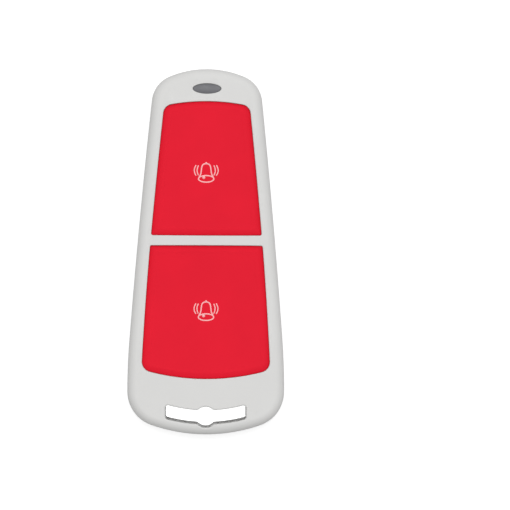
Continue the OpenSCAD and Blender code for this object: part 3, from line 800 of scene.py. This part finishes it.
# Bell sign: lines as points from its middle, drawn for one side and mirrored. The mouth has half
# its width, half its height and its middle. A dot has its place and radius. A wave has how far out
# its ends and its middle are, its middle height, and its reach up and down.
INK_WIDTH = 0.29
WAVE_WIDTH = 0.25
INK_HEIGHT = 0.03
INK_STEP = 0.06
BELL_STEPS = 6
WAVE_STEPS = 3
WAVE_SHARES = (1, 0.5, 0, -0.5, -1)
PEN_STEPS = 6
BELL_SIDE = [
    (0, 1.93), (0.45, 1.86), (0.77, 1.64), (0.97, 1.20), (1.06, 0.70), (1.11, 0.21),
    (1.19, -0.26), (1.34, -0.68), (1.58, -1.1),
]
BELL_MOUTH = (1.72, 0.74, -1.48)
BELL_KNOB = (0, 2.10, 0.2)
BELL_CLAPPER = (-0.54, -1.17, 0.34)
WAVES = [(1.76, 2.03, 0.42, 1.04), (2.31, 2.68, 0.42, 1.10)]
SIGN_SHIFT = {"upper": Vector((-0.11, 0.07)), "lower": Vector((-0.02, 0.19))}


def smooth_line(points, each):
    """Catmull-Rom curve through given points."""
    ends = [points[0], *points, points[-1]]
    made = []
    for a, b, c, d in zip(ends, ends[1:], ends[2:], ends[3:]):
        for t in [i / each for i in range(each)]:
            made.append(0.5 * (2 * b + (c - a) * t + (2 * a - 5 * b + 4 * c - d) * t**2
                               + (3 * b - a - 3 * c + d) * t**3))
    return made + [points[-1]]


def stroke_outline(line, width):
    """Closed outline of a line drawn with a round pen."""
    left = []
    right = []
    for i, p in enumerate(line):
        ahead = (line[min(i + 1, len(line) - 1)] - line[max(i - 1, 0)]).normalized()
        across = Vector((-ahead.y, ahead.x)) * width / 2
        left.append(p + across)
        right.append(p - across)

    def cap(centre, start):
        return arc(centre, width / 2, start, start - 180, PEN_STEPS)[1:-1]

    first = toward(line[0], left[0])
    last = toward(line[-1], left[-1])
    return left + cap(line[-1], last) + right[::-1] + cap(line[0], first - 180)


def bell_shapes():
    """Outer loops of the sign's closed shapes, each with the loops cut out of it."""
    shapes = []
    side = [Vector(p) for p in BELL_SIDE]
    whole = [Vector((-p.x, p.y)) for p in reversed(side[1:])] + side
    shapes.append([stroke_outline(smooth_line(whole, BELL_STEPS), INK_WIDTH)])
    half_width, half_height, y = BELL_MOUTH
    shapes.append([
        oval_ring(2 * half_width + INK_WIDTH, 2 * half_height + INK_WIDTH, y),
        oval_ring(2 * half_width - INK_WIDTH, 2 * half_height - INK_WIDTH, y),
    ])
    for x, y, r in (BELL_KNOB, BELL_CLAPPER):
        shapes.append([circle_ring(Vector((x, y)), r)])
    for near, far, middle, reach in WAVES:
        for mirror in (-1, 1):
            line = []
            for share in WAVE_SHARES:
                line.append(Vector((mirror * (far - (far - near) * share**2), middle + reach * share)))
            shapes.append([stroke_outline(smooth_line(line, WAVE_STEPS), WAVE_WIDTH)])
    return shapes


def bell_print(side, place):
    """Printed bell on the dished face of a key, with each shape a little higher where they cross."""
    shell = Shell()
    base = KEY_TOP - KEY_DISH
    place = place + SIGN_SHIFT[side]
    for i, shape in enumerate(bell_shapes()):
        height = INK_HEIGHT * (1 + INK_STEP * i)
        tops = []
        foots = []
        for loop in shape:
            tops.append(shell.ring([place + p for p in loop], base + height))
            foots.append(shell.ring([place + p for p in loop], base - INK_HEIGHT / 2))
            shell.bridge(tops[-1], foots[-1])
        shell.fill(*tops)
        shell.fill(*foots)
    shell.piece(f"{side}_key_sign", print_ink, f"{side}_key", "key_plastic")


def lamp_lens():
    """Shallow domed lens, a flange under the front wall and a light guide to the lamp."""
    shell = Shell()
    width = LAMP_WIDTH - 2 * LENS_GAP
    height = LAMP_HEIGHT - 2 * LENS_GAP
    flange = [LENS_HIGH.x - LENS_LOW.x, LENS_HIGH.y - LENS_LOW.y]
    flange_low = PLATE_UNDER - LENS_FLANGE
    rings = [
        shell.ring(oval_ring(*LENS_GUIDE, LAMP_Y), LENS_LOW.z),
        shell.ring(oval_ring(*LENS_GUIDE, LAMP_Y), flange_low),
        shell.ring(oval_ring(*flange, LAMP_Y), flange_low),
        shell.ring(oval_ring(*flange, LAMP_Y), PLATE_UNDER),
        shell.ring(oval_ring(width, height, LAMP_Y), PLATE_UNDER),
    ]
    rings.append(shell.ring(oval_ring(width, height, LAMP_Y), LENS_HIGH.z - LENS_RIM_DROP - LENS_EDGE))
    for reach in LENS_REACHES:
        z = LENS_HIGH.z - LENS_RIM_DROP * reach**2
        rings.append(shell.ring(oval_ring(width * reach, height * reach, LAMP_Y), z))
    shell.loft(rings)
    shell.fill(rings[0])
    shell.fill(rings[-1])
    shell.piece("lamp_lens_window", lens_plastic, "case", "lens_plastic", "lamp_lens")


def eased(points, radius, steps):
    """Profile with its corners rounded."""
    made = [points[0]]
    for a, b, c in zip(points, points[1:], points[2:]):
        start = b + (a - b).normalized() * min(radius, (a - b).length / 2)
        end = b + (c - b).normalized() * min(radius, (c - b).length / 2)
        for i in range(steps + 1):
            t = i / steps
            made.append(start * (1 - t) ** 2 + b * 2 * t * (1 - t) + end * t**2)
    return made + [points[-1]]


def turned(profile, place):
    """Closed body turned round a place from a profile of radii and heights."""
    shell = Shell()
    rings = [shell.ring(circle_ring(place, p.x), p.y) for p in profile]
    shell.loft(rings)
    shell.fill(rings[0])
    shell.fill(rings[-1])
    return shell


def key_boot(side, place):
    """Silicone boot over a switch, under its key."""
    low, high = box_mm(f"{side}_key_boot")
    shoulder = high.z - BOOT_SHOULDER
    inside = BOOT_FLANK - BOOT_WALL
    step = low.z + BOOT_FOOT_HEIGHT
    corners = [
        (BOOT_NOSE / 2, high.z - BOOT_CROWN), (BOOT_NOSE, high.z - BOOT_CROWN),
        (inside, shoulder - BOOT_WALL), (inside, low.z), (BOOT_FOOT, low.z), (BOOT_FOOT, step),
        (BOOT_FLANK, step), (BOOT_FLANK, shoulder), (BOOT_NOSE, high.z - BOOT_NOSE_HEIGHT),
        (BOOT_NOSE, high.z), (BOOT_NOSE / 2, high.z),
    ]
    shell = turned(eased([Vector(p) for p in corners], BOOT_EASE, BOOT_EASE_STEPS), place)
    made = shell.piece(f"{side}_key_boot_cap", boot_rubber, "case", "boot_rubber", f"{side}_key_boot")
    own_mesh(made)


def snap_dome(side, place):
    """Thin dome on a switch's floor, under its plunger."""
    low, high = box_mm(f"{side}_switch_dome")
    rim = (high.x - low.x) / 2
    rise = high.z - low.z
    ball = (rim**2 + rise**2) / (2 * rise)
    profile = []
    outward = range(DOME_STEPS + 1)
    for radius, steps in ((ball, outward), (ball - DOME_THICKNESS, reversed(outward))):
        edge = math.sqrt(radius**2 - (ball - rise) ** 2)
        for i in steps:
            out = DOME_FLAT + (edge - DOME_FLAT) * i / DOME_STEPS
            profile.append(Vector((out, high.z - ball + math.sqrt(radius**2 - out**2))))
    shell = turned(profile, place)
    made = shell.piece(
        f"{side}_snap_dome", contact_steel, "case", "contact_steel", f"{side}_switch_dome")
    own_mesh(made)


def soften(node, width):
    """Rounds the sharp edges of a CAD node that stays."""
    held = frame["nodes"][node]
    bevel = held.modifiers.new("soft edges", "BEVEL")
    bevel.width = width * MM
    bevel.segments = SOFT_SEGMENTS
    bevel.limit_method = "ANGLE"
    bevel.angle_limit = SOFT_FROM


front_cover()
rear_cover()
key("upper", UPPER, UPPER_PLACE)
key("lower", LOWER, LOWER_PLACE)
bell_print("upper", UPPER_PLACE)
bell_print("lower", LOWER_PLACE)
lamp_lens()
key_boot("upper", UPPER_PLACE)
key_boot("lower", LOWER_PLACE)
snap_dome("upper", UPPER_PLACE)
snap_dome("lower", LOWER_PLACE)
soften("case_screws", SCREW_SOFT_EDGE)
soften("rear_label", LABEL_SOFT_EDGE)

# Camera: above the pendant's middle line, turned to the picture's middle, to the right of it
VIEW_CENTRE = Vector((10.9, -0.73))
VIEW_TURN = math.radians(0.25)
VIEW_ASIDE = 10.9
VIEW_HEIGHT = 760
VIEW_WIDTH = 114.2
SENSOR = 36
CLIP_START = 0.01
CLIP_END = 10

camera_data = bpy.data.cameras.new("photo view")
camera_data.sensor_width = SENSOR
camera_data.lens = SENSOR * VIEW_HEIGHT / VIEW_WIDTH
camera_data.clip_start = CLIP_START
camera_data.clip_end = CLIP_END
camera = bpy.data.objects.new("photo view", camera_data)
camera.location = ((VIEW_CENTRE.x - VIEW_ASIDE) * MM, VIEW_CENTRE.y * MM, (FRONT + VIEW_HEIGHT) * MM)
camera.rotation_euler = (0, -math.atan(VIEW_ASIDE / VIEW_HEIGHT), VIEW_TURN)
bpy.context.scene.collection.objects.link(camera)
bpy.context.scene.camera = camera

# Floor and light: places and sizes in metres, grain in millimetres, power in watts, and glow
# where 1 is white
FLOOR_SIZE = 3.0
FLOOR_DROP = 0.00002
FLOOR_GRAIN = 40
FLOOR_ROUGH = (0.93, 1.0)
FLOOR_COLOUR = (0.47, 0.47, 0.47)
PATCH_COLOUR = (0.95, 0.95, 0.95)
FLOOR_GLOW = 0.72
# Painted light under the strap slot: more glow on the floor where the case's shadow falls, seen through
# the slot
SLOT_PAINTED_LIGHT = 0.4
WORLD_DIM = 0.20
WORLD_BRIGHT = 0.84
WORLD_TOWARD = (0.17, 0.84, 0.38)
KEY_LIGHT_PLACE = (0.00, 0.18, 1.30)
KEY_LIGHT_SIZE = 0.3
KEY_LIGHT_POWER = 7.0


def seen_directly(n):
    """1 for rays that show the backdrop itself: from the camera, a gloss or through glass."""
    path = n.add("ShaderNodeLightPath")
    first = n.add("ShaderNodeMath", operation="MAXIMUM")
    second = n.add("ShaderNodeMath", operation="MAXIMUM")
    n.join(path.outputs["Is Camera Ray"], first.inputs[0])
    n.join(path.outputs["Is Glossy Ray"], first.inputs[1])
    n.join(first.outputs[0], second.inputs[0])
    n.join(path.outputs["Is Transmission Ray"], second.inputs[1])
    return second.outputs[0]


def within(n, centre, full, none):
    """1 on the floor up to a distance from a centre, falling to 0 at a further one."""
    apart = n.add("ShaderNodeVectorMath", operation="DISTANCE")
    apart.inputs[1].default_value = (centre.x * MM, centre.y * MM, 0)
    n.join(n.where, apart.inputs[0])
    fade = n.add("ShaderNodeMapRange")
    fade.inputs["From Min"].default_value = full * MM
    fade.inputs["From Max"].default_value = none * MM
    fade.inputs["To Min"].default_value = 1
    fade.inputs["To Max"].default_value = 0
    n.join(apart.outputs["Value"], fade.inputs["Value"])
    return fade.outputs["Result"]


def under_slot(n):
    """1 on the floor that shows through the strap slot, 0 past the farthest point of the slot."""
    both = n.add("ShaderNodeMath", operation="MULTIPLY")
    n.join(within(n, CORD_CENTRE, SLOT_LENGTH / 2, SLOT_LENGTH / 2 + CASE_EDGE), both.inputs[0])
    farthest = SLOT_RADIUS + CORD_HOLE / 2
    n.join(within(n, FOOT_CENTRE, farthest, farthest + LIP), both.inputs[1])
    return both.outputs[0]


def floor():
    """White floor: a grey sheet that keeps the shadow, with a glow that only direct views see, and
    under the strap slot a paler patch with painted light over the case's shadow.
    """
    n = Nodes("floor")
    patch = under_slot(n)
    n.join(n.shades(patch, FLOOR_COLOUR, PATCH_COLOUR), n.shader.inputs["Base Color"])
    n.shader.inputs["Specular IOR Level"].default_value = 0
    fine = n.noise(FLOOR_GRAIN)
    n.join(n.spread(fine, *FLOOR_ROUGH), n.shader.inputs["Roughness"])
    n.shader.inputs["Emission Color"].default_value = (1, 1, 1, 1)
    # Glow raised under the strap slot: painted light over the case's shadow on the floor seen through
    # the slot
    brighter = n.add("ShaderNodeMath", operation="MULTIPLY_ADD")
    brighter.inputs[1].default_value = SLOT_PAINTED_LIGHT
    brighter.inputs[2].default_value = FLOOR_GLOW
    n.join(patch, brighter.inputs[0])
    glow = n.add("ShaderNodeMath", operation="MULTIPLY")
    n.join(seen_directly(n), glow.inputs[0])
    n.join(brighter.outputs[0], glow.inputs[1])
    n.join(glow.outputs[0], n.shader.inputs["Emission Strength"])
    bm = bmesh.new()
    bmesh.ops.create_grid(bm, x_segments=1, y_segments=1, size=FLOOR_SIZE / 2)
    mesh = bpy.data.meshes.new("floor")
    bm.to_mesh(mesh)
    bm.free()
    made = bpy.data.objects.new("floor", mesh)
    made.location.z = -FLOOR_DROP
    mesh.materials.append(n.material)
    bpy.context.scene.collection.objects.link(made)


def softbox(name, place, size, power):
    """Square area light at a place in metres, turned to the pendant."""
    data = bpy.data.lights.new(name, "AREA")
    data.shape = "SQUARE"
    data.size = size
    data.energy = power
    made = bpy.data.objects.new(name, data)
    made.location = place
    made.rotation_euler = (-Vector(place)).to_track_quat("-Z", "Y").to_euler()
    bpy.context.scene.collection.objects.link(made)


def world(dim, bright, toward_light):
    """Pale surroundings, a little brighter on one side, seen as white behind the floor's edge."""
    made = bpy.data.worlds.new("surroundings")
    n = Tree(made)
    back = n.tree.nodes["Background"]
    back.inputs["Color"].default_value = (1, 1, 1, 1)
    where = n.add("ShaderNodeTexCoord")
    along = n.add("ShaderNodeVectorMath", operation="DOT_PRODUCT")
    along.inputs[1].default_value = toward_light
    n.join(where.outputs["Generated"], along.inputs[0])
    slope = n.add("ShaderNodeMapRange")
    slope.inputs["From Min"].default_value = -1
    slope.inputs["From Max"].default_value = 1
    slope.inputs["To Min"].default_value = dim
    slope.inputs["To Max"].default_value = bright
    n.join(along.outputs["Value"], slope.inputs["Value"])
    level = n.add("ShaderNodeMapRange")
    level.inputs["To Max"].default_value = 1.0
    n.join(slope.outputs["Result"], level.inputs["To Min"])
    n.join(seen_directly(n), level.inputs["Value"])
    n.join(level.outputs["Result"], back.inputs["Strength"])
    bpy.context.scene.world = made


floor()
world(WORLD_DIM, WORLD_BRIGHT, WORLD_TOWARD)
softbox("key light", KEY_LIGHT_PLACE, KEY_LIGHT_SIZE, KEY_LIGHT_POWER)
bpy.context.scene.view_settings.view_transform = "Standard"
